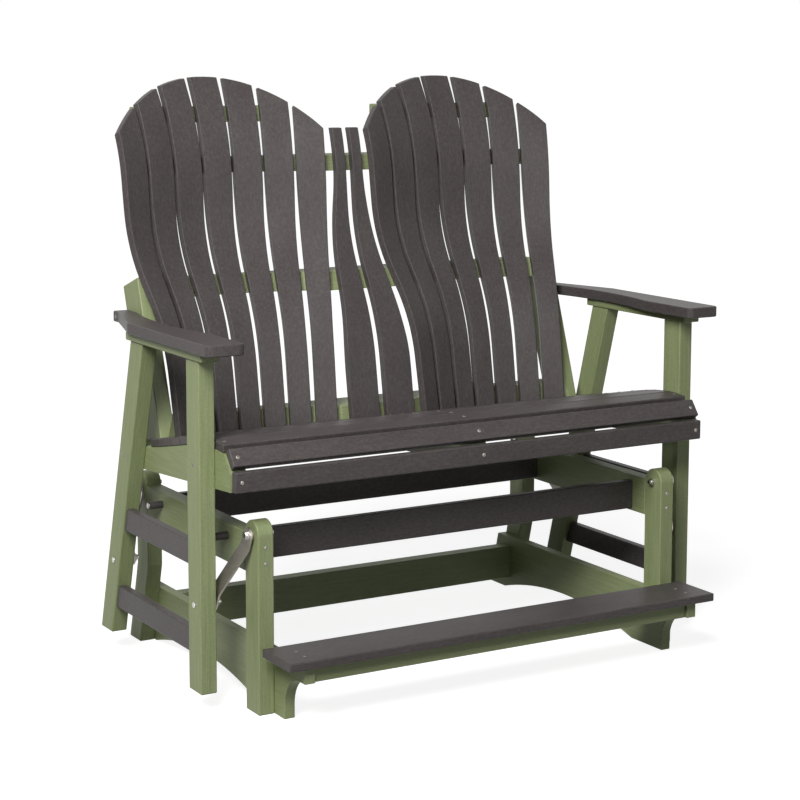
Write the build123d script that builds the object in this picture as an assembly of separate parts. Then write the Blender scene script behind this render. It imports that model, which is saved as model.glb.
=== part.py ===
import os
from math import asin, atan2, cos, degrees, hypot, radians, sin, tan

from build123d import *

# Two-seat fan-back porch glider with a footrest, made of recycled plastic lumber.
# Millimetres. X runs across the glider, left is -X as seen from the front, the front faces -Y, Z is up.
# The model is laid out with Y 0 midway between the upper pivots and is moved at the end, so that
# the origin is under the middle of its box, on the floor.

# Lumber
post_thick = 38.1
post_depth = 63.5
slat_thick = 19.0
side_board_thick = 22.0
sled_thick = 25.4
edge_round = 3.0

# Glide linkage: the seat hangs on four straps from the tops of the base posts
upper_pivot_span = 595.1
lower_pivot_span = 453.0
upper_pivot_height = 396.9
lower_pivot_height = 238.0
bolt_radius = 5.0
bolt_head_radius = 8.0
bolt_head_height = 4.5
bolt_head_round = 2.7
nut_across_flats = 16.0
nut_height = 8.0
bolt_tip = 5.0
running_clearance = 0.05
hole_clearance = 0.1
link_width = 35.0
link_thick = 5.0
link_eye_run = 30.0
link_bend_radius = 14.0
pivot_spacer = 6.0
spacer_radius = 11.0
open_pivot_play = 4.6

# Base frame
rear_post_knee = 200.0
rear_post_splay = 54.0
sled_height = 139.0
sled_nose = 140.9
nose_height = 36.0
nose_flat = 22.0
toe_radius = 73.0
front_foot_length = 121.0
rear_foot_length = 73.0
arch_rise = 41.5
side_rail_height = 88.9
side_rail_bottom = 309.0
cross_rail_height = 70.0
cross_rail_bottom = 316.0
cross_rail_inset = 48.0
stretcher_height = 86.0
stretcher_bottom = 30.0
stretcher_setback = 17.2
footrest_reach = 4.6
footrest_width = 131.0
footrest_overhang = 15.4
footrest_apron_setback = 6.0
bumper_radius = 9.0
bumper_length = 34.0
bumper_bolt_radius = 3.0
bumper_head_radius = 7.0
bumper_head_height = 3.0
bumper_inset = 88.8
bumper_height = 370.0

# Seat frame
swing_gap = 65.8
front_leg_clear = 43.2
rear_leg_clear = 58.0
rear_leg_lean = 15.9
leg_top = 776.0
cleat_width = 46.0
cleat_thick = 19.0
cleat_front_reach = 21.0
cleat_rear_reach = 20.0
side_board_height = 54.0
side_board_inset = 4.5
upper_side_board_bottom = 320.0
lower_side_board_bottom = 124.0

# Seat
seat_end_clear = 3.55
seat_pitch = 56.8
seat_slat_gap = 3.0
seat_front = -292.8
seat_front_height = 598.1
seat_tilts = [-4.0, 4.0, 9.0, 11.5, 11.5, 11.5, 10.0]
drop_slat_width = 44.0
drop_slat_angle = 53.0
drop_slat_gap = 10.3
drop_slat_rise = 4.1
apron_lap = 4.0
apron_height = 45.7
apron_bottom = 502.0
stringer_rear_bottom = 466.0
stringer_rear_run = 92.0
stringer_clear = 0.5

# Armrests
arm_thick = 25.4
arm_overhang = 15.7
arm_front_reach = 81.0
arm_front_width = 90.0
arm_corner = 14.0
arm_taper_start = 345.0
arm_rear_reach = 560.0
arm_tip_length = 30.0
arm_tip_width = 37.0
arm_waist = 24.0

# Back
upright_width = 90.0
upright_lean = 19.1
upright_foot_front = 118.5
upright_foot_height = 545.0
upright_bottom = 476.0
upright_length = 452.0
upright_clear = 18.38
fan_spacing = 667.4
fan_side_room = 92.5
fan_depth = 47.0
fan_shoulder = 113.8
fan_lean = 0.61
fan_lean_height = 928.0
fan_slats = 7
fan_top = 1367.0
slat_bottom = 529.0
slat_low_gap = 5.0
slat_high_gap = 9.4
slat_widen_start = 760.0
slat_widen_end = 1110.0
slat_ease = 2500.0
slat_round = 2.5
profile_points = [(152.8, 525.0), (194.2, 769.3), (310.7, 970.1), (339.3, 1230.8), (420.0, 1380.0)]
profile_radii = [520.0, 400.0, 540.0]
filler_forward = 55.0
filler_gap = 19.0
filler_top = 1241.0
filler_low_width = 79.0
filler_high_width = 28.0
filler_taper_start = 700.0
filler_taper_end = 1110.0
filler_ease = 700.0
rail_thick = 38.1
rail_fit = 0.2
cutter_lap = 4.0
bottom_rail_bottom = 526.0
bottom_rail_rear = 228.0
bottom_rail_height = 48.1
middle_rail_bottom = 847.0
middle_rail_rear = 322.0
middle_rail_height = 44.1
upper_rail_bottom = 1135.0
upper_rail_rear = 397.0
upper_rail_inset = 13.0
top_rail_bottom = 1257.0
top_rail_rear = 440.0
top_rail_end = 22.0

# Screws
screw_head_radius = 4.5
screw_head_height = 2.4
screw_radius = 2.4
screw_length = 44.0
rail_screw_shares = (0.3, 0.7)
footrest_screw_shares = (0.3, 0.6)

# The fans: their end slats stand forward by the fan's depth and keep their room at the sides of a
# sitting place, and the gaps give the slats' widths
slat_middle = (fan_slats - 1) / 2
fan_reach = fan_spacing / 2 - fan_side_room
fan_high_radius = (fan_reach**2 + fan_depth**2) / (2 * fan_depth)
fan_axis = profile_points[3][0] - fan_high_radius
fan_low_radius = profile_points[0][0] - fan_axis
fan_turn = degrees(asin(fan_reach / fan_high_radius)) / slat_middle
fan_low_reach = fan_low_radius * sin(radians(fan_turn) * slat_middle)
fan_arc_radius = fan_reach + fan_shoulder
slat_low_width = fan_low_radius * radians(fan_turn) - slat_low_gap
slat_high_width = fan_high_radius * radians(fan_turn) - slat_high_gap
upper_rail_half = fan_spacing / 2 + fan_reach - upper_rail_inset
top_rail_half = fan_high_radius * sin(radians(fan_turn) * (slat_middle - 1)) + top_rail_end

# The frame: the uprights stand clear of the end slats' feet, then come stringers, legs and base
upright_in = fan_spacing / 2 + fan_low_reach + slat_low_width / 2 + upright_clear
stringer_in = upright_in + post_thick
leg_in = stringer_in + post_thick
leg_out = leg_in + post_thick
base_half = leg_in - swing_gap
post_in = base_half - post_thick
sled_in = post_in - sled_thick
upper_y = upper_pivot_span / 2
lower_y = lower_pivot_span / 2
half_depth = post_depth / 2
front_post_front = -upper_y - half_depth
rear_foot_back = upper_y + half_depth + rear_post_splay
sled_front = front_post_front - sled_nose
link_fall = upper_pivot_height - lower_pivot_height
link_length = hypot(upper_y - lower_y, link_fall)
link_lean = degrees(atan2(upper_y - lower_y, link_fall))
link_x = base_half + pivot_spacer
lower_link_x = leg_in - pivot_spacer
cleat_bottom = leg_top
arm_bottom = cleat_bottom + cleat_thick
arm_out = leg_out + arm_overhang


def rounded(solid, radius=edge_round):
    return fillet(solid.edges(), radius)


def board(x0, x1, y0, y1, z0, z1):
    middle = Pos((x0 + x1) / 2, (y0 + y1) / 2, (z0 + z1) / 2)
    return rounded(middle * Box(x1 - x0, y1 - y0, z1 - z0))


def side_cut(outline, x0, x1):
    # A board sawn to a side outline drawn in Y and Z
    return extrude(Plane.YZ.offset(x0) * outline, amount=x1 - x0)


def plan_cut(outline, z0, z1):
    # A board sawn to a plan outline drawn in X and Y
    return extrude(Plane.XY.offset(z0) * outline, amount=z1 - z0)


def rod(x0, x1, y, z, radius):
    # A round bar along X
    return Plane.YZ.offset(x0) * Pos(y, z) * extrude(Circle(radius), amount=x1 - x0)


def flipped(solid):
    return mirror(solid, about=Plane.YZ)


def shifted(points, amount):
    # Corners of a path moved to its left by an amount, with mitred corners
    moved = []
    for i, (a, b) in enumerate(points):
        before = points[max(i - 1, 0)]
        after = points[min(i + 1, len(points) - 1)]
        sides = []
        for p, q in ((before, (a, b)), ((a, b), after)):
            run = hypot(q[0] - p[0], q[1] - p[1])
            if run > 0:
                sides.append(((p[1] - q[1]) / run, (q[0] - p[0]) / run))
        first, last = sides[0], sides[-1]
        mitre = 1 + first[0] * last[0] + first[1] * last[1]
        moved.append((a + amount * (first[0] + last[0]) / mitre, b + amount * (first[1] + last[1]) / mitre))
    return moved


def turns_left(p, q, r):
    return (q[0] - p[0]) * (r[1] - q[1]) - (q[1] - p[1]) * (r[0] - q[0]) > 0


def strip(points, radii, thick):
    # A bent strip: one face follows the path, the other lies to its right by the thickness
    far_radii = []
    for i, radius in enumerate(radii):
        bend = 1 if turns_left(*points[i:i + 3]) else -1
        far_radii.append(radius + bend * thick)
    far_points = shifted(points, -thick)
    near = FilletPolyline(*points, radius=radii)
    far = FilletPolyline(*far_points, radius=far_radii)
    ends = [Line(points[0], far_points[0]), Line(points[-1], far_points[-1])]
    return make_face([near, far, *ends])


nodes = {}

# Base posts


def front_post():
    body = Pos(-upper_y, upper_pivot_height / 2) * Rectangle(post_depth, upper_pivot_height)
    outline = body + Pos(-upper_y, upper_pivot_height) * Circle(half_depth)
    solid = rounded(side_cut(outline, post_in, base_half))
    return solid - rod(post_in, base_half, -upper_y, upper_pivot_height, bolt_radius + hole_clearance)


def rear_post():
    front = upper_y - half_depth
    back = upper_y + half_depth
    outline = make_face(Polyline(
        (front, upper_pivot_height),
        (front, rear_post_knee),
        (front + rear_post_splay, 0),
        (back + rear_post_splay, 0),
        (back, rear_post_knee),
        (back, upper_pivot_height),
        close=True,
    ))
    outline += Pos(upper_y, upper_pivot_height) * Circle(half_depth)
    solid = rounded(side_cut(outline, post_in, base_half))
    return solid - rod(post_in, base_half, upper_y, upper_pivot_height, bolt_radius + hole_clearance)


# Lower side boards with the arch, the curved toe and the nose under the footrest


def sled():
    nose_bottom = sled_height - nose_height
    toe = sled_front + nose_flat + toe_radius
    heel = rear_foot_back - rear_foot_length
    arch_front = toe + front_foot_length
    rear_slope = rear_post_splay / rear_post_knee
    edges = [
        Line((sled_front, sled_height), (sled_front, nose_bottom)),
        Line((sled_front, nose_bottom), (sled_front + nose_flat, nose_bottom)),
        RadiusArc((sled_front + nose_flat, nose_bottom), (toe, nose_bottom - toe_radius), toe_radius),
        Line((toe, nose_bottom - toe_radius), (toe, 0)),
        Line((toe, 0), (arch_front, 0)),
        ThreePointArc((arch_front, 0), ((arch_front + heel) / 2, arch_rise), (heel, 0)),
        Line((heel, 0), (rear_foot_back, 0)),
        Line((rear_foot_back, 0), (rear_foot_back - rear_slope * sled_height, sled_height)),
        Line((rear_foot_back - rear_slope * sled_height, sled_height), (sled_front, sled_height)),
    ]
    return rounded(side_cut(make_face(edges), sled_in, post_in), edge_round / 2)


def base_frame():
    nodes["base_front_post_right"] = front_post()
    nodes["base_rear_post_right"] = rear_post()
    nodes["sled_right"] = sled()
    rail_reach = upper_y - half_depth
    nodes["base_side_rail_right"] = board(
        post_in, base_half, -rail_reach, rail_reach, side_rail_bottom, side_rail_bottom + side_rail_height)
    for name in ("base_front_post", "base_rear_post", "sled", "base_side_rail"):
        nodes[name + "_left"] = flipped(nodes[name + "_right"])
    rail_out = rail_reach - cross_rail_inset
    rail_in = rail_out - side_board_thick
    cross_top = cross_rail_bottom + cross_rail_height
    nodes["base_cross_rail_front"] = board(-post_in, post_in, -rail_out, -rail_in, cross_rail_bottom, cross_top)
    nodes["base_cross_rail_rear"] = board(-post_in, post_in, rail_in, rail_out, cross_rail_bottom, cross_top)
    stretcher_front = upper_y - half_depth + stretcher_setback
    nodes["rear_stretcher"] = board(
        -sled_in, sled_in, stretcher_front, stretcher_front + post_thick,
        stretcher_bottom, stretcher_bottom + stretcher_height)


def footrest():
    front = sled_front - footrest_overhang
    half = base_half + footrest_reach
    nodes["footrest_board"] = board(
        -half, half, front, front + footrest_width, sled_height, sled_height + slat_thick)
    apron = sled_front + footrest_apron_setback
    nodes["footrest_apron"] = board(
        -sled_in, sled_in, apron, apron + slat_thick, sled_height - nose_height, sled_height)


# Bumpers on the base side rails, which stop a link at the far end of its swing


def bumpers():
    rubber = []
    bolts = []
    reach = upper_y - half_depth - bumper_inset
    for y in (-reach, reach):
        outer = base_half + bumper_length
        hole = rod(base_half, outer, y, bumper_height, bumper_bolt_radius + hole_clearance)
        rubber.append(rod(base_half, outer, y, bumper_height, bumper_radius) - hole)
        shank = rod(post_in, outer, y, bumper_height, bumper_bolt_radius)
        head = rod(outer, outer + bumper_head_height, y, bumper_height, bumper_head_radius)
        head = fillet(head.edges().sort_by(Axis.X)[-1], bumper_head_height / 2)
        bolts.append(shank + head)
        drill = rod(post_in, base_half, y, bumper_height, bumper_bolt_radius + hole_clearance)
        for side in ("left", "right"):
            name = "base_side_rail_" + side
            nodes[name] -= drill if side == "right" else flipped(drill)
    nodes["stop_bumpers"] = Compound(rubber + [flipped(r) for r in rubber])
    nodes["stop_bolts"] = Compound(bolts + [flipped(b) for b in bolts])


# Swing links: straps joggled outwards from the base posts to the seat legs


def link(lower_hole):
    eye = link_width / 2
    path = [
        (link_x, eye),
        (link_x, -link_eye_run),
        (lower_link_x - link_thick, link_eye_run - link_length),
        (lower_link_x - link_thick, -link_length - eye),
    ]
    bent = extrude(Plane.XZ * strip(path, [link_bend_radius] * 2, -link_thick), amount=eye, both=True)
    ends = Rot(0, 0, 90) * SlotCenterToCenter(link_length, link_width)
    outline = extrude(Plane.YZ * Pos(0, -link_length / 2) * ends, amount=leg_in)
    strap = bent & outline
    strap -= rod(0, leg_in, 0, 0, bolt_radius + running_clearance)
    strap -= rod(lower_link_x - link_thick, leg_in, 0, -link_length, lower_hole)
    return strap


def links():
    front = Pos(0, -upper_y, upper_pivot_height) * Rot(link_lean, 0, 0) * link(bolt_radius + running_clearance)
    rear = link(bolt_radius + open_pivot_play)
    rear = Pos(0, upper_y, upper_pivot_height) * Rot(-link_lean, 0, 0) * rear
    nodes["front_links"] = Compound([front, flipped(front)])
    nodes["rear_links"] = Compound([rear, flipped(rear)])


def nut(x0, y, z):
    hexagon = Plane.YZ.offset(x0) * Pos(y, z) * RegularPolygon(nut_across_flats / 2, 6, major_radius=False)
    return extrude(hexagon, amount=nut_height) - rod(x0, x0 + nut_height, y, z, bolt_radius + hole_clearance)


def pivot_hardware():
    bolts, nuts, spacers = [], [], []
    for y in (-upper_y, upper_y):
        z = upper_pivot_height
        head_at = link_x + link_thick + running_clearance
        shank = rod(post_in - nut_height - bolt_tip, head_at, y, z, bolt_radius)
        head = rod(head_at, head_at + bolt_head_height, y, z, bolt_head_radius)
        bolts.append(shank + fillet(head.edges().sort_by(Axis.X)[-1], bolt_head_round))
        nuts.append(nut(post_in - nut_height, y, z))
        ring = rod(base_half, link_x - running_clearance, y, z, spacer_radius)
        spacers.append(ring - rod(base_half, link_x, y, z, bolt_radius + hole_clearance))
    nodes["upper_pivot_bolts"] = Compound(bolts + [flipped(b) for b in bolts])
    nodes["upper_pivot_nuts"] = Compound(nuts + [flipped(n) for n in nuts])
    nodes["upper_pivot_spacers"] = Compound(spacers + [flipped(s) for s in spacers])
    bolts, nuts = [], []
    for y in (-lower_y, lower_y):
        z = lower_pivot_height
        nut_at = lower_link_x - link_thick - running_clearance - nut_height
        shank = rod(nut_at - bolt_tip, leg_out, y, z, bolt_radius)
        collar = rod(lower_link_x + running_clearance, leg_in, y, z, spacer_radius)
        head = rod(leg_out, leg_out + screw_head_height, y, z, screw_head_radius + bolt_tip / 2)
        head = fillet(head.edges().sort_by(Axis.X)[-1], screw_head_height / 2)
        bolts.append(shank + collar + head)
        nuts.append(nut(nut_at, y, z))
    nodes["lower_pivot_bolts"] = Compound(bolts + [flipped(b) for b in bolts])
    nodes["lower_pivot_nuts"] = Compound(nuts + [flipped(n) for n in nuts])


# Seat legs, side boards, arm cleats


def rear_leg_y(z):
    # Middle of the slanted rear leg at a height
    return lower_y - (z - lower_pivot_height) * tan(radians(rear_leg_lean))


def seat_legs():
    hole = bolt_radius + hole_clearance
    front = board(leg_in, leg_out, -lower_y - half_depth, -lower_y + half_depth, front_leg_clear, leg_top)
    nodes["seat_front_leg_right"] = front - rod(leg_in, leg_out, -lower_y, lower_pivot_height, hole)
    half = half_depth / cos(radians(rear_leg_lean))
    foot, head = rear_leg_y(rear_leg_clear), rear_leg_y(leg_top)
    outline = make_face(Polyline(
        (foot - half, rear_leg_clear), (foot + half, rear_leg_clear),
        (head + half, leg_top), (head - half, leg_top), close=True))
    rear = rounded(side_cut(outline, leg_in, leg_out))
    nodes["seat_rear_leg_right"] = rear - rod(leg_in, leg_out, lower_y, lower_pivot_height, hole)
    for name in ("seat_front_leg", "seat_rear_leg"):
        nodes[name + "_left"] = flipped(nodes[name + "_right"])
    for name, bottom in (("upper", upper_side_board_bottom), ("lower", lower_side_board_bottom)):
        top = bottom + side_board_height
        start = -lower_y + half_depth
        outline = make_face(Polyline(
            (start, bottom), (rear_leg_y(bottom) - half, bottom),
            (rear_leg_y(top) - half, top), (start, top), close=True))
        outer = leg_out - side_board_inset
        solid = rounded(side_cut(outline, outer - side_board_thick, outer))
        nodes[name + "_side_boards"] = Compound([solid, flipped(solid)])
    middle = (leg_in + leg_out) / 2
    cleat = board(
        middle - cleat_width / 2, middle + cleat_width / 2,
        -lower_y - half_depth - cleat_front_reach, head + half + cleat_rear_reach, cleat_bottom, arm_bottom)
    nodes["arm_cleats"] = Compound([cleat, flipped(cleat)])


def armrests():
    front = -lower_y - half_depth - arm_front_reach
    inner = arm_out - arm_front_width
    tip = front + arm_rear_reach + arm_front_reach
    tip_in = stringer_in
    tip_out = tip_in + arm_tip_width
    taper = front + arm_taper_start + arm_front_reach
    waist_start = front + arm_taper_start / 2
    waist_end = tip - 2 * arm_tip_length
    corner = arm_corner
    edges = [
        Line((inner + corner, front), (arm_out - corner, front)),
        RadiusArc((arm_out - corner, front), (arm_out, front + corner), -corner),
        Line((arm_out, front + corner), (arm_out, taper)),
        Line((arm_out, taper), (tip_out, tip - arm_tip_length)),
        Line((tip_out, tip - arm_tip_length), (tip_out, tip)),
        Line((tip_out, tip), (tip_in, tip)),
        Line((tip_in, tip), (tip_in, waist_end)),
        ThreePointArc(
            (tip_in, waist_end),
            ((tip_in + inner) / 2 + arm_waist, (waist_start + waist_end) / 2),
            (inner, waist_start)),
        Line((inner, waist_start), (inner, front + corner)),
        RadiusArc((inner, front + corner), (inner + corner, front), -corner),
    ]
    arm = rounded(plan_cut(make_face(edges), arm_bottom, arm_bottom + arm_thick))
    nodes["armrest_right"] = arm
    nodes["armrest_left"] = flipped(arm)


# Seat: slats on three contoured stringers, with a sloping slat and an apron in front


def seat_line():
    # Top corners of the slats in side view, front to back
    points = [(seat_front, seat_front_height)]
    for tilt in seat_tilts:
        y, z = points[-1]
        points.append((y + seat_pitch * cos(radians(tilt)), z - seat_pitch * sin(radians(tilt))))
    return points


def drop_slat_foot():
    # Lower inner corner of the sloping front slat, which lies on the stringers' cut fronts
    y, z = shifted(seat_line(), -slat_thick)[0]
    slope = radians(drop_slat_angle)
    foot_y = y - drop_slat_gap - drop_slat_width * cos(slope)
    return foot_y, z + drop_slat_rise - drop_slat_width * sin(slope)


def apron_back():
    y, z = drop_slat_foot()
    return y - (z - apron_bottom - apron_height) / tan(radians(drop_slat_angle)) - apron_lap


def stringer_outline():
    foot_y, foot_z = drop_slat_foot()
    front = apron_back()
    chamfer_z = foot_z - (foot_y - front) * tan(radians(drop_slat_angle))
    under = shifted(seat_line(), -slat_thick)
    shoulder = foot_y + (under[0][1] - foot_z) / tan(radians(drop_slat_angle))
    rear = under[-1][0] + stringer_rear_run
    return make_face(Polyline(
        (front, apron_bottom),
        (front, chamfer_z),
        (shoulder, under[0][1]),
        *under[:-1],
        under[-1],
        (under[-1][0] + stringer_clear, bottom_rail_bottom - stringer_clear),
        (rear, bottom_rail_bottom - stringer_clear),
        (rear, stringer_rear_bottom),
        close=True,
    ))


def seat_boards():
    outline = stringer_outline()
    side = side_cut(outline, stringer_in, leg_in)
    nodes["seat_stringer_right"] = side
    nodes["seat_stringer_left"] = flipped(side)
    nodes["seat_stringer_middle"] = side_cut(outline, -post_thick / 2, post_thick / 2)
    half = leg_in - seat_end_clear
    slats = []
    points = seat_line()
    for tilt, (y, z) in zip(seat_tilts, points):
        flat = board(-half, half, seat_slat_gap / 2, seat_pitch - seat_slat_gap / 2, -slat_thick, 0)
        slats.append(Pos(0, y, z) * Rot(-tilt, 0, 0) * flat)
    nodes["seat_slats"] = Compound(slats)
    foot_y, foot_z = drop_slat_foot()
    flat = board(-half, half, 0, drop_slat_width, 0, slat_thick)
    nodes["seat_drop_slat"] = Pos(0, foot_y, foot_z) * Rot(drop_slat_angle, 0, 0) * flat
    back = apron_back()
    nodes["seat_apron"] = board(-half, half, back - slat_thick, back, apron_bottom, apron_bottom + apron_height)


# Back: two uprights, four shaped rails, two fans of slats and a pair of filler slats


def uprights():
    slope = tan(radians(upright_lean))
    lean = radians(upright_lean)
    foot = upright_foot_front - (upright_foot_height - upright_bottom) * slope
    top = (foot + upright_length * sin(lean), upright_bottom + upright_length * cos(lean))
    top_rear = (top[0] + upright_width * cos(lean), top[1] - upright_width * sin(lean))
    rear_foot = foot + upright_width / cos(lean)
    outline = make_face(Polyline((foot, upright_bottom), (rear_foot, upright_bottom), top_rear, top, close=True))
    solid = rounded(side_cut(outline, upright_in, stringer_in))
    nodes["back_upright_right"] = solid
    nodes["back_upright_left"] = flipped(solid)


def slat_profile():
    # The bent slat in side view, measured from the upright line that the fan turns about
    points = [(y - fan_axis, z) for y, z in profile_points]
    return strip(points, profile_radii, slat_thick)


def space_before():
    # Everything between the fan's axis and a slat's back face, less a small fit, in side view
    points = [(y - fan_axis, z) for y, z in profile_points]
    back = shifted(points, -slat_thick - rail_fit)
    radii = []
    for i, radius in enumerate(profile_radii):
        bend = 1 if turns_left(*points[i:i + 3]) else -1
        radii.append(radius + bend * (slat_thick + rail_fit))
    return make_face([
        FilletPolyline(*back, radius=radii),
        Line(back[-1], (0, back[-1][1])),
        Line((0, back[-1][1]), (0, back[0][1])),
        Line((0, back[0][1]), back[0]),
    ])


def tapered(low, high, start, end, ease, top):
    # Front outline of a slat that changes width between two heights
    right = FilletPolyline(
        (low / 2, slat_bottom), (low / 2, start), (high / 2, end), (high / 2, top), radius=ease)
    return make_face([
        right,
        mirror(right, about=Plane.YZ),
        Line((-low / 2, slat_bottom), (low / 2, slat_bottom)),
        Line((-high / 2, top), (high / 2, top)),
    ])


def across(outline):
    # A front outline drawn in X and Z, swept through the whole back
    return extrude(Plane.XZ * outline, amount=fan_top, both=True)


def fan_limit():
    # The round top of a fan in front view
    centre = fan_top - fan_arc_radius
    below = Pos(0, centre / 2) * Rectangle(2 * fan_arc_radius, centre)
    return across(below + Pos(0, centre) * Circle(fan_arc_radius))


def fan_place(step):
    # A slat is turned about the fan's axis and leans a little, so that its head is nearer the fan's middle
    pivot = Pos(0, 0, fan_lean_height)
    lean = pivot * Rot(0, -fan_lean * step, 0) * pivot.inverse()
    return Pos(0, fan_axis, 0) * Rot(0, 0, -fan_turn * step) * lean


def back_slats():
    # The blank stands a little above the fan, so that only the round top trims it
    blank = extrude(Plane.YZ * slat_profile(), amount=slat_high_width, both=True)
    blank &= across(tapered(
        slat_low_width, slat_high_width, slat_widen_start, slat_widen_end, slat_ease, fan_top + slat_thick))
    limit = fan_limit()
    for i in range(fan_slats):
        slat = rounded((fan_place(i - slat_middle) * blank) & limit, slat_round)
        nodes[f"back_slat_left_{i + 1}"] = Pos(-fan_spacing / 2, 0, 0) * slat
        nodes[f"back_slat_right_{i + 1}"] = Pos(fan_spacing / 2, 0, 0) * slat


def filler_slats():
    low, high = filler_low_width, filler_high_width
    outline = make_face([
        FilletPolyline(
            (low, slat_bottom), (low, filler_taper_start), (high, filler_taper_end), (high, filler_top),
            radius=filler_ease),
        Line((high, filler_top), (0, filler_top)),
        Line((0, filler_top), (0, slat_bottom)),
        Line((0, slat_bottom), (low, slat_bottom)),
    ])
    blank = extrude(Plane.YZ * slat_profile(), amount=low, both=True) & across(outline)
    slat = rounded(Pos(filler_gap / 2, fan_axis - filler_forward, 0) * blank, slat_round)
    nodes["back_filler_slats"] = Compound([slat, flipped(slat)])


def rail_cutter():
    # What lies in front of all the slats' back faces: one wedge for each slat, one for the fillers
    face = Plane.YZ * space_before()
    reach = profile_points[-1][0] - fan_axis
    sector = reach * tan(radians(fan_turn) / 2) + cutter_lap
    wedge = extrude(face, amount=sector, both=True)
    outer = extrude(face, amount=fan_spacing / 2) + extrude(face, amount=-sector)
    filler = extrude(face, amount=filler_low_width + filler_gap / 2 + slat_low_width / 2, both=True)
    cutters = [Pos(0, fan_axis - filler_forward, 0) * filler]
    for x in (-fan_spacing / 2, fan_spacing / 2):
        for i in range(fan_slats):
            step = i - slat_middle
            end = outer if step > 0 else flipped(outer)
            piece = end if abs(step) == slat_middle else wedge
            cutters.append(Pos(x, 0, 0) * fan_place(step) * piece)
    return cutters


def back_rails():
    cutters = rail_cutter()
    front = profile_points[0][0] - filler_forward - fan_spacing / 4
    spans = {
        "back_bottom_rail": (upright_in, bottom_rail_rear, bottom_rail_bottom, bottom_rail_height),
        "back_middle_rail": (upright_in, middle_rail_rear, middle_rail_bottom, middle_rail_height),
        "back_upper_rail": (upper_rail_half, upper_rail_rear, upper_rail_bottom, rail_thick),
    }
    for name, (half, rear, bottom, height) in spans.items():
        rail = board(-half, half, front, rear, bottom, bottom + height)
        for cutter in cutters:
            rail -= cutter
        nodes[name] = rail
    tops = []
    for x in (-fan_spacing / 2, fan_spacing / 2):
        rail = board(
            x - top_rail_half, x + top_rail_half, front, top_rail_rear,
            top_rail_bottom, top_rail_bottom + rail_thick)
        for cutter in cutters:
            rail -= cutter
        tops.append(rail)
    nodes["back_top_rails"] = Compound(tops)
    # The uprights are planed where the outermost slats bear on them
    nodes["back_upright_left"] -= cutters[1]
    nodes["back_upright_right"] -= cutters[-1]


# Screws: each has a low head let into the first piece and a shank through it into the second


def screw(clearance=0.0):
    head = Pos(0, 0, -screw_head_height / 2) * Cylinder(screw_head_radius + clearance, screw_head_height)
    shank = Pos(0, 0, -screw_length / 2) * Cylinder(screw_radius + clearance, screw_length + 2 * clearance)
    return head + shank


def put_screws(group, places, pair=True):
    solids = []
    for location, names in places:
        one, hole = location * screw(), location * screw(hole_clearance)
        solids.append(one)
        for name in names:
            nodes[name] = nodes[name] - hole
        if pair:
            solids.append(flipped(one))
            for name in names:
                other = name.replace("_right", "_left")
                nodes[other] = nodes[other] - flipped(hole)
    nodes.setdefault(group, [])
    nodes[group] = list(nodes[group]) + solids


def base_fasteners():
    places = []
    front = Pos((post_in + base_half) / 2, front_post_front, 0) * Rot(90, 0, 0)
    for share in rail_screw_shares:
        z = side_rail_bottom + side_rail_height * share
        places.append((Pos(0, 0, z) * front, ["base_front_post_right", "base_side_rail_right"]))
    put_screws("base_screws", places)
    places = []
    for share in footrest_screw_shares:
        y = sled_front - footrest_overhang + footrest_width * share
        place = Pos((sled_in + post_in) / 2, y, sled_height + slat_thick)
        places.append((place, ["footrest_board", "sled_right"]))
    put_screws("base_screws", places)


def seat_fasteners():
    places = []
    x = stringer_in + post_thick / 2
    for tilt, (y, z) in zip(seat_tilts, seat_line()):
        place = Pos(0, y, z) * Rot(-tilt, 0, 0) * Pos(0, seat_pitch / 2, 0)
        places.append((place, ["seat_slats"]))
    foot_y, foot_z = drop_slat_foot()
    place = Pos(0, foot_y, foot_z) * Rot(drop_slat_angle, 0, 0) * Pos(0, drop_slat_width / 2, slat_thick)
    places.append((place, ["seat_drop_slat"]))
    apron_z = apron_bottom + apron_height / 2
    places.append((Pos(0, apron_back() - slat_thick, apron_z) * Rot(90, 0, 0), ["seat_apron"]))
    sides = [(Pos(x, 0, 0) * p, n + ["seat_stringer_right"]) for p, n in places]
    put_screws("seat_screws", sides)
    put_screws("seat_screws", [(p, n + ["seat_stringer_middle"]) for p, n in places], pair=False)
    leg_z = apron_bottom + apron_height
    places = []
    for y, name in ((-lower_y, "seat_front_leg_right"), (rear_leg_y(apron_bottom), "seat_rear_leg_right")):
        z = leg_z if y < 0 else apron_bottom
        places.append((Pos(leg_out, y, z) * Rot(0, 90, 0), [name, "seat_stringer_right"]))
    tip = -lower_y - half_depth + arm_rear_reach - arm_tip_length / 2
    place = Pos(stringer_in + arm_tip_width, tip, arm_bottom + arm_thick / 2) * Rot(0, 90, 0)
    places.append((place, ["armrest_right", "back_upright_right"]))
    put_screws("seat_screws", places)


base_frame()
footrest()
bumpers()
links()
pivot_hardware()
seat_legs()
armrests()
seat_boards()
uprights()
back_slats()
filler_slats()
back_rails()
base_fasteners()
seat_fasteners()

shapes = {name: Compound(shape) if isinstance(shape, list) else shape for name, shape in nodes.items()}
box = Compound(list(shapes.values())).bounding_box()
shift = Pos(-box.center().X, -box.center().Y, -box.min.Z)
os.makedirs("parts", exist_ok=True)
for name, shape in shapes.items():
    export_step(shift * shape, f"parts/{name}.step")
print("moved by", round(shift.position.X, 3), round(shift.position.Y, 3), round(shift.position.Z, 3))
print("size", [round(v, 2) for v in (box.size.X, box.size.Y, box.size.Z)], "link", round(link_length, 3))
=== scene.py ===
import math

import bmesh
import bpy
from mathutils import Matrix, Vector


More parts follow.
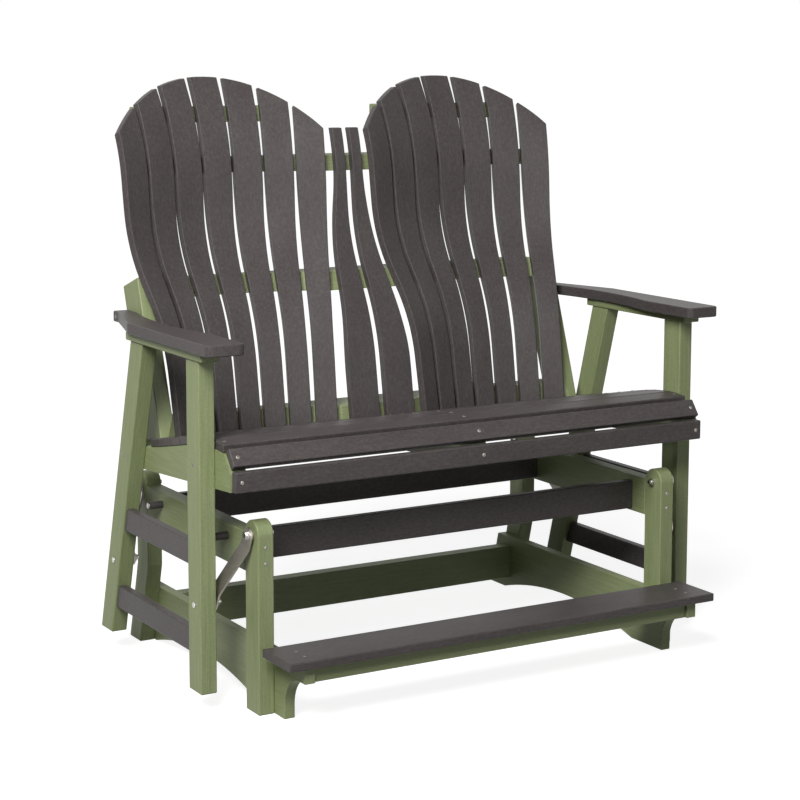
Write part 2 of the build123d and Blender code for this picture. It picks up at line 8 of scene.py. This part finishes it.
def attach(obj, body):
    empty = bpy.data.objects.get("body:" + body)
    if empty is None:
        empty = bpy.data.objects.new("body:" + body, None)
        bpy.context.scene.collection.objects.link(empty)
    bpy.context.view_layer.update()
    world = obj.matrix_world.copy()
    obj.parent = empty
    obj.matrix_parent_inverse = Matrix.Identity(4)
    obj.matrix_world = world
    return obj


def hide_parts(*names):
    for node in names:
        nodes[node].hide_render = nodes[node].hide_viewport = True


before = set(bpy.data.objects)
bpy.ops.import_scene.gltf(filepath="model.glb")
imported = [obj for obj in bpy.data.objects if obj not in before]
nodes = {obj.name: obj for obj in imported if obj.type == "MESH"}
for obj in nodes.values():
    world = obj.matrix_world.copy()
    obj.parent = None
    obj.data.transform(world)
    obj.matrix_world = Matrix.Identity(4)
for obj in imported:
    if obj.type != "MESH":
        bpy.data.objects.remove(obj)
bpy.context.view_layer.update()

# Metres, as in the frame
millimetre = 0.001

# The photograph's camera: from the sitter's right, above the armrests, looking slightly down
camera_place = Vector((-2.4581, -4.1325, 1.4380))
camera_yaw = math.radians(30.451)
camera_pitch = math.radians(-7.397)
camera_roll = math.radians(0.1375)
camera_lens = 91.542
camera_sensor = 36.0
camera_shift = -0.11

# Pivot bolts with a flanged hexagon head: thicknesses from the seat, other heights from the plain head face
bolt_radius = 5.0 * millimetre
bolt_length = 66.7 * millimetre
bolt_seat = -4.5 * millimetre
flange_radius = 11.5 * millimetre
flange_thick = 1.4 * millimetre
flange_crown_radius = 9.89 * millimetre
flange_crown_thick = 2.24 * millimetre
hexagon_half = 8.0 * millimetre
hexagon_foot_thick = 2.52 * millimetre
hexagon_shoulder = 1.21 * millimetre
hexagon_crown_radius = 7.52 * millimetre
hexagon_top = 2.2 * millimetre

# Screws with a domed head and a square drive, heights counted from the plain screw's head face
shank_radius = 2.3 * millimetre
shank_length = 12 * millimetre
head_foot = -2.4 * millimetre
head_rim = -2.2 * millimetre
head_radius = 4.4 * millimetre
dome_waist_radius = 3.96 * millimetre
dome_waist = 0.45 * millimetre
dome_crown_radius = 2.992 * millimetre
dome_top = 0.9 * millimetre
drive_half = 1.6 * millimetre
drive_foot_half = 1.44 * millimetre
drive_depth = 1.4 * millimetre

# How the frame's plain fasteners are read, and how finely the new ones are turned
weld_distance = 0.01 * millimetre
end_radii = 2.5
face_depth = 0.6 * millimetre
turned_sides = 24

# Lean of the boards that stand askew, for their grain
rear_leg_lean = math.radians(15.9)
upright_lean = math.radians(-19.1)

# Plastic lumber: how streaks, skin and broad clouds mix, where its three tones lie, how its gloss varies
skin_share = 0.4
cloud_share = 0.25
clouds_per_grain = 0.06
dark_tone = 0.34
middle_tone = 0.5
light_tone = 0.66
gloss_spread = 0.08

# Steel and rubber
brush_line = 1.2 * millimetre
brush_stretch = 60.0
haze_size = 2.0 * millimetre
bloom_size = 3.0 * millimetre

# Stage: the floor is white to the camera, its glow turned down to a painted shade near the object, where the
# real cast shadow shows in it
floor_half = 30.0
floor_seen = "#B4B4B4"
floor_bounce = "#6A6A6A"
white_strength = 1.0
painted_shade_strength = 0.88
painted_shade_reach = 1.1
white_reach = 2.6

# Light: a soft lamp high on the camera's left, a broad card in front that only shows as sheen, a weak sky
lamp_distance = 5.0
lamp_aim = 0.65
key_turn = math.radians(49)
key_height = math.radians(38)
key_size = 2.4
key_power = 305
card_turn = math.radians(2)
card_height = math.radians(14)
card_size = 4.2
card_power = 120
sky_strength = 0.06


def linear(hex_colour):
    # An sRGB hex colour as linear red, green, blue and alpha
    channels = [int(hex_colour[i:i + 2], 16) / 255 for i in (1, 3, 5)]
    return [c / 12.92 if c <= 0.04045 else ((c + 0.055) / 1.055) ** 2.4 for c in channels] + [1.0]


def add(tree, kind, inputs=None, **settings):
    # One shader node: settings are its own values, inputs are numbers, colours or other nodes' sockets
    item = tree.nodes.new(kind)
    for name, value in settings.items():
        setattr(item, name, value)
    for name, value in (inputs or {}).items():
        if isinstance(value, bpy.types.NodeSocket):
            tree.links.new(value, item.inputs[name])
        else:
            item.inputs[name].default_value = value
    return item


def new_material(name):
    material = bpy.data.materials.new(name)
    material.use_nodes = True
    tree = material.node_tree
    tree.nodes.clear()
    return material, tree


def shades(tree, factor, stops):
    # A colour ramp through the given places and hex colours
    ramp = add(tree, "ShaderNodeValToRGB", {"Fac": factor})
    while len(ramp.color_ramp.elements) < len(stops):
        ramp.color_ramp.elements.new(0.5)
    for element, (place, colour) in zip(ramp.color_ramp.elements, stops):
        element.position = place
        element.color = linear(colour)
    return ramp.outputs["Color"]


def plastic_lumber(finish, colours, axis, lean, grain_width, grain_length, pebble, roughness, sheen):
    # Recycled polyethylene, extruded and roller embossed: a waxy low sheen, fine streaks along the board
    # and a pebbled skin. The streaks are drawn about twice as wide as real ones, so that they show.
    material, tree = new_material(f"{finish}_lumber_{axis.lower()}_{round(math.degrees(lean))}")
    stretch = grain_length / grain_width
    scale = [stretch if letter == axis else 1.0 for letter in "XYZ"]
    place = add(tree, "ShaderNodeTexCoord").outputs["Object"]
    along = add(tree, "ShaderNodeMapping", {
        "Vector": place, "Rotation": (lean, 0.0, 0.0), "Scale": scale}, vector_type="TEXTURE")
    streaks = add(tree, "ShaderNodeTexNoise", {
        "Vector": along.outputs["Vector"], "Scale": 1 / grain_width, "Detail": 3.0, "Roughness": 0.6})
    skin = add(tree, "ShaderNodeTexNoise", {
        "Vector": place, "Scale": 1 / pebble, "Detail": 2.0, "Roughness": 0.55})
    cloud = add(tree, "ShaderNodeTexNoise", {
        "Vector": along.outputs["Vector"], "Scale": clouds_per_grain / grain_width, "Detail": 2.0})
    mixed = add(tree, "ShaderNodeMix", {
        0: skin_share, 2: streaks.outputs["Fac"], 3: skin.outputs["Fac"]}, data_type="FLOAT")
    toned = add(tree, "ShaderNodeMix", {
        0: cloud_share, 2: mixed.outputs[0], 3: cloud.outputs["Fac"]}, data_type="FLOAT")
    tones = zip((dark_tone, middle_tone, light_tone), colours)
    colour = shades(tree, toned.outputs[0], list(tones))
    rough = add(tree, "ShaderNodeMapRange", {
        "Value": skin.outputs["Fac"], "To Min": roughness - gloss_spread,
        "To Max": roughness + gloss_spread})
    relief = add(tree, "ShaderNodeBump", {
        "Height": mixed.outputs[0], "Strength": 0.35, "Distance": 0.6 * millimetre})
    surface = add(tree, "ShaderNodeBsdfPrincipled", {
        "Base Color": colour, "Roughness": rough.outputs["Result"], "IOR": 1.5,
        "Specular IOR Level": sheen, "Normal": relief.outputs["Normal"]})
    add(tree, "ShaderNodeOutputMaterial", {"Surface": surface.outputs["BSDF"]})
    return material


def sage(axis, lean=0.0):
    # Plain green boards: long fine streaks and a dull skin
    return plastic_lumber(
        "sage_green", ("#767F56", "#848E64", "#929B74"), axis, lean,
        grain_width=3.0 * millimetre, grain_length=90 * millimetre, pebble=3.2 * millimetre,
        roughness=0.52, sheen=0.35)


def weathered(axis):
    # Brown-grey boards with an embossed weathered skin: short flecks and a weak, even sheen
    return plastic_lumber(
        "brown_grey", ("#413C3B", "#4C4746", "#575351"), axis, 0.0,
        grain_width=5.0 * millimetre, grain_length=14 * millimetre, pebble=6.0 * millimetre,
        roughness=0.42, sheen=0.15)


def link_steel():
    # Stainless strap, brushed along its length: broad soft highlights broken by fine lines
    material, tree = new_material("brushed_stainless_strap")
    place = add(tree, "ShaderNodeTexCoord").outputs["Object"]
    along = add(tree, "ShaderNodeMapping", {
        "Vector": place, "Scale": (1.0, 1.0, brush_stretch)}, vector_type="TEXTURE")
    lines = add(tree, "ShaderNodeTexNoise", {
        "Vector": along.outputs["Vector"], "Scale": 1 / brush_line, "Detail": 3.0})
    colour = shades(tree, lines.outputs["Fac"], [(0.3, "#9A938E"), (0.7, "#C2BBB5")])
    rough = add(tree, "ShaderNodeMapRange", {
        "Value": lines.outputs["Fac"], "To Min": 0.38, "To Max": 0.54})
    relief = add(tree, "ShaderNodeBump", {
        "Height": lines.outputs["Fac"], "Strength": 0.15, "Distance": 0.2 * millimetre})
    surface = add(tree, "ShaderNodeBsdfPrincipled", {
        "Base Color": colour, "Metallic": 1.0, "Roughness": rough.outputs["Result"],
        "Normal": relief.outputs["Normal"]})
    add(tree, "ShaderNodeOutputMaterial", {"Surface": surface.outputs["BSDF"]})
    return material


def fastener_steel(name, dark, bright, roughness):
    # Stainless screws and bolts: bolts are given bright, screws a darker copy of the same steel, both with a
    # faint mottled haze
    material, tree = new_material(name)
    place = add(tree, "ShaderNodeTexCoord").outputs["Object"]
    haze = add(tree, "ShaderNodeTexNoise", {
        "Vector": place, "Scale": 1 / haze_size, "Detail": 2.0})
    colour = shades(tree, haze.outputs["Fac"], [(0.3, dark), (0.7, bright)])
    rough = add(tree, "ShaderNodeMapRange", {
        "Value": haze.outputs["Fac"], "To Min": roughness - gloss_spread,
        "To Max": roughness + gloss_spread})
    surface = add(tree, "ShaderNodeBsdfPrincipled", {
        "Base Color": colour, "Metallic": 1.0, "Roughness": rough.outputs["Result"]})
    add(tree, "ShaderNodeOutputMaterial", {"Surface": surface.outputs["BSDF"]})
    return material


def bumper_rubber():
    # Moulded black rubber: matt, with a dusty bloom
    material, tree = new_material("moulded_rubber")
    place = add(tree, "ShaderNodeTexCoord").outputs["Object"]
    bloom = add(tree, "ShaderNodeTexNoise", {
        "Vector": place, "Scale": 1 / bloom_size, "Detail": 3.0})
    colour = shades(tree, bloom.outputs["Fac"], [(0.35, "#2E2A2A"), (0.65, "#3E3939")])
    relief = add(tree, "ShaderNodeBump", {
        "Height": bloom.outputs["Fac"], "Strength": 0.2, "Distance": 0.3 * millimetre})
    surface = add(tree, "ShaderNodeBsdfPrincipled", {
        "Base Color": colour, "Roughness": 0.62, "IOR": 1.52, "Normal": relief.outputs["Normal"]})
    add(tree, "ShaderNodeOutputMaterial", {"Surface": surface.outputs["BSDF"]})
    return material


# Which way each board's grain runs

grain_of_sage = {
    "Z": ["base_front_post_left", "base_front_post_right", "base_rear_post_left", "base_rear_post_right",
          "seat_front_leg_left", "seat_front_leg_right"],
    "X": ["rear_stretcher", "footrest_apron", "back_bottom_rail", "back_middle_rail", "back_upper_rail",
          "back_top_rails"],
    "Y": ["sled_left", "sled_right", "base_side_rail_left", "base_side_rail_right", "arm_cleats",
          "seat_stringer_left", "seat_stringer_middle", "seat_stringer_right"],
}
leaning_sage = {
    rear_leg_lean: ["seat_rear_leg_left", "seat_rear_leg_right"],
    upright_lean: ["back_upright_left", "back_upright_right"],
}
grain_of_brown = {
    "X": ["base_cross_rail_front", "base_cross_rail_rear", "footrest_board", "seat_apron", "seat_drop_slat",
          "seat_slats"],
    "Y": ["armrest_left", "armrest_right", "upper_side_boards", "lower_side_boards"],
    "Z": ["back_filler_slats"] + [name for name in nodes if name.startswith("back_slat_")],
}


def finish_node(name, material):
    for place in nodes[name].material_slots:
        place.material = material


def finish_boards():
    finishes = [(sage(axis), names) for axis, names in grain_of_sage.items()]
    finishes += [(sage("Z", lean), names) for lean, names in leaning_sage.items()]
    finishes += [(weathered(axis), names) for axis, names in grain_of_brown.items()]
    for material, names in finishes:
        for name in names:
            finish_node(name, material)


def finish_hardware(fastener):
    strap = link_steel()
    for name in ("front_links", "rear_links"):
        finish_node(name, strap)
    for name in ("stop_bolts", "upper_pivot_nuts", "upper_pivot_spacers",
                 "lower_pivot_bolts", "lower_pivot_nuts"):
        finish_node(name, fastener)
    finish_node("stop_bumpers", bumper_rubber())


# Screws and pivot bolts with full heads, set where the frame's plain ones are


def head_places(name, radius):
    # Head centre and outward direction of each plain screw or bolt in a node
    merged = bmesh.new()
    merged.from_mesh(nodes[name].data)
    bmesh.ops.remove_doubles(merged, verts=merged.verts, dist=weld_distance)
    left = set(merged.verts)
    places = []
    while left:
        island = set()
        edge = [left.pop()]
        while edge:
            vertex = edge.pop()
            island.add(vertex)
            for link in vertex.link_edges:
                neighbour = link.other_vert(vertex)
                if neighbour in left:
                    left.remove(neighbour)
                    edge.append(neighbour)
        points = [v.co.copy() for v in island]
        middle = sum(points, Vector()) / len(points)
        far = max(points, key=lambda p: (p - middle).length)
        opposite = max(points, key=lambda p: (p - far).length)
        near = [p for p in points if (p - far).length < end_radii * radius]
        other = [p for p in points if (p - opposite).length < end_radii * radius]
        wide, narrow = (near, other) if spread(near) > spread(other) else (other, near)
        places.append(head_of(wide, narrow))
    merged.free()
    return places


def spread(points):
    # How far the points reach from their middle
    middle = sum(points, Vector()) / len(points)
    return max((p - middle).length for p in points)


def head_of(wide, narrow):
    # The middle of the head's outer face and the direction out of it
    tip = sum(narrow, Vector()) / len(narrow)
    rough = (sum(wide, Vector()) / len(wide) - tip).normalized()
    top = max(p.dot(rough) for p in wide)
    face = [p for p in wide if top - p.dot(rough) < face_depth]
    centre = sum(face, Vector()) / len(face)
    return centre, (centre - tip).normalized()


def set_ring(cap, radius, height):
    for vertex in cap.verts:
        flat = Vector((vertex.co.x, vertex.co.y, 0)).normalized() * radius
        vertex.co = (flat.x, flat.y, height)


def set_square(cap, half, height):
    # The ring's points pushed out to a square's sides, for the driver recess
    for vertex in cap.verts:
        reach = half / max(abs(vertex.co.x), abs(vertex.co.y))
        vertex.co = (vertex.co.x * reach, vertex.co.y * reach, height)


def set_hexagon(cap, half, height):
    # The ring's points pushed out to a hexagon's sides, for a spanner
    side = math.radians(60)
    for vertex in cap.verts:
        angle = math.atan2(vertex.co.y, vertex.co.x)
        reach = half / math.cos(angle % side - side / 2)
        vertex.co = (reach * math.cos(angle), reach * math.sin(angle), height)


def add_turned(shape, centre, outward, radius, foot, steps):
    # A closed shape drawn out of a disc, one step after the other, each an outline, its size and its height
    turn = outward.to_track_quat("Z", "Y").to_matrix().to_4x4()
    start = bmesh.ops.create_circle(shape, cap_ends=True, segments=turned_sides, radius=radius)
    bmesh.ops.translate(shape, verts=start["verts"], vec=(0, 0, foot))
    made = list(start["verts"])
    cap = start["verts"][0].link_faces[0]
    for outline, size, height in steps:
        cap = bmesh.ops.extrude_discrete_faces(shape, faces=[cap])["faces"][0]
        outline(cap, size, height)
        made += list(cap.verts)
    bmesh.ops.transform(shape, matrix=Matrix.Translation(centre) @ turn, verts=made)


def fasteners(name, node, body, material, radius, shank, length, steps):
    shape = bmesh.new()
    for centre, outward in head_places(node, radius):
        add_turned(shape, centre, outward, shank, -length, steps)
    bmesh.ops.recalc_face_normals(shape, faces=shape.faces)
    mesh = bpy.data.meshes.new(name)
    shape.to_mesh(mesh)
    shape.free()
    mesh.materials.append(material)
    piece = bpy.data.objects.new(name, mesh)
    bpy.context.scene.collection.objects.link(piece)
    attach(piece, body)
    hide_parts(node)


screw_steps = [
    (set_ring, shank_radius, head_foot),
    (set_ring, head_radius, head_rim),
    (set_ring, head_radius, 0.0),
    (set_ring, dome_waist_radius, dome_waist),
    (set_ring, dome_crown_radius, dome_top),
    (set_square, drive_half, dome_top),
    (set_square, drive_foot_half, dome_top - drive_depth),
]
bolt_steps = [
    (set_ring, bolt_radius, bolt_seat),
    (set_ring, flange_radius, bolt_seat),
    (set_ring, flange_radius, bolt_seat + flange_thick),
    (set_ring, flange_crown_radius, bolt_seat + flange_crown_thick),
    (set_hexagon, hexagon_half, bolt_seat + hexagon_foot_thick),
    (set_hexagon, hexagon_half, hexagon_shoulder),
    (set_ring, hexagon_crown_radius, hexagon_top),
]


# Stage, light and camera


def background_rays(tree):
    # 1 where the camera, a shiny surface or glass looks, and 0 for the light that falls on things
    path = add(tree, "ShaderNodeLightPath")
    seen = add(tree, "ShaderNodeMath", {
        0: path.outputs["Is Camera Ray"], 1: path.outputs["Is Glossy Ray"]}, operation="MAXIMUM")
    seen = add(tree, "ShaderNodeMath", {
        0: seen.outputs[0], 1: path.outputs["Is Transmission Ray"]}, operation="MAXIMUM")
    return seen.outputs[0]


def stage():
    # A wide floor: white from afar, with a painted shade around the object, where the cast shadow falls
    material, tree = new_material("white_floor")
    place = add(tree, "ShaderNodeTexCoord").outputs["Object"]
    away = add(tree, "ShaderNodeVectorMath", {0: place}, operation="LENGTH")
    # Painted shade: the floor's white glow is dimmed near the object, whatever the lamps do
    glow = add(tree, "ShaderNodeMapRange", {
        "Value": away.outputs["Value"], "From Min": painted_shade_reach, "From Max": white_reach,
        "To Min": painted_shade_strength, "To Max": white_strength}, interpolation_type="SMOOTHSTEP")
    white = add(tree, "ShaderNodeEmission", {"Color": linear("#FFFFFF"), "Strength": glow.outputs["Result"]})
    lit = add(tree, "ShaderNodeBsdfDiffuse", {"Color": linear(floor_seen)})
    shown = add(tree, "ShaderNodeAddShader", {0: white.outputs["Emission"], 1: lit.outputs["BSDF"]})
    plain = add(tree, "ShaderNodeBsdfDiffuse", {"Color": linear(floor_bounce)})
    both = add(tree, "ShaderNodeMixShader", {
        0: background_rays(tree), 1: plain.outputs["BSDF"], 2: shown.outputs["Shader"]})
    add(tree, "ShaderNodeOutputMaterial", {"Surface": both.outputs["Shader"]})
    shape = bmesh.new()
    bmesh.ops.create_grid(shape, x_segments=1, y_segments=1, size=floor_half)
    mesh = bpy.data.meshes.new("floor")
    shape.to_mesh(mesh)
    shape.free()
    mesh.materials.append(material)
    floor = bpy.data.objects.new("floor", mesh)
    bpy.context.scene.collection.objects.link(floor)


def light_world():
    world = bpy.data.worlds.new("studio")
    bpy.context.scene.world = world
    world.use_nodes = True
    tree = world.node_tree
    tree.nodes.clear()
    soft = add(tree, "ShaderNodeBackground", {"Color": linear("#FFFFFF"), "Strength": sky_strength})
    white = add(tree, "ShaderNodeBackground", {"Color": linear("#FFFFFF"), "Strength": white_strength})
    both = add(tree, "ShaderNodeMixShader", {
        0: background_rays(tree), 1: soft.outputs["Background"], 2: white.outputs["Background"]})
    add(tree, "ShaderNodeOutputWorld", {"Surface": both.outputs["Shader"]})


def soft_lamp(name, turn, height, size, power, lights_surfaces=True):
    # A round area lamp, turned from the front towards the camera's left and aimed at the object's middle
    flat = lamp_distance * math.cos(height)
    place = Vector((-flat * math.sin(turn), -flat * math.cos(turn), lamp_distance * math.sin(height)))
    lamp = bpy.data.lights.new(name, "AREA")
    lamp.shape = "DISK"
    lamp.size = size
    lamp.energy = power
    holder = bpy.data.objects.new(name, lamp)
    holder.location = place + Vector((0, 0, lamp_aim))
    holder.rotation_euler = (-place).to_track_quat("-Z", "Y").to_euler()
    holder.visible_diffuse = lights_surfaces
    bpy.context.scene.collection.objects.link(holder)


def photograph_camera():
    lens = bpy.data.cameras.new("photograph_camera")
    lens.lens = camera_lens
    lens.sensor_width = camera_sensor
    lens.shift_y = camera_shift
    camera = bpy.data.objects.new("photograph_camera", lens)
    camera.location = camera_place
    camera.rotation_euler = (math.radians(90) + camera_pitch, 0, -camera_yaw)
    camera.rotation_euler.rotate_axis("Z", camera_roll)
    bpy.context.scene.collection.objects.link(camera)
    bpy.context.scene.camera = camera


bpy.context.scene.view_settings.view_transform = "Standard"
bolt_steel = fastener_steel("tumbled_stainless_bolt", "#A9A7A3", "#C6C4C0", 0.3)
screw_steel = fastener_steel("darker_stainless_screw", "#7A766F", "#928D86", 0.5)
finish_boards()
finish_hardware(bolt_steel)
screw = (head_radius, shank_radius, shank_length, screw_steps)
fasteners("base_screw_heads", "base_screws", "base", screw_steel, *screw)
fasteners("seat_screw_heads", "seat_screws", "seat", screw_steel, *screw)
bolt = (flange_radius, bolt_radius, bolt_length, bolt_steps)
fasteners("upper_pivot_bolt_heads", "upper_pivot_bolts", "base", bolt_steel, *bolt)
stage()
light_world()
soft_lamp("key_lamp", key_turn, key_height, key_size, key_power)
soft_lamp("sheen_card", card_turn, card_height, card_size, card_power, lights_surfaces=False)
photograph_camera()
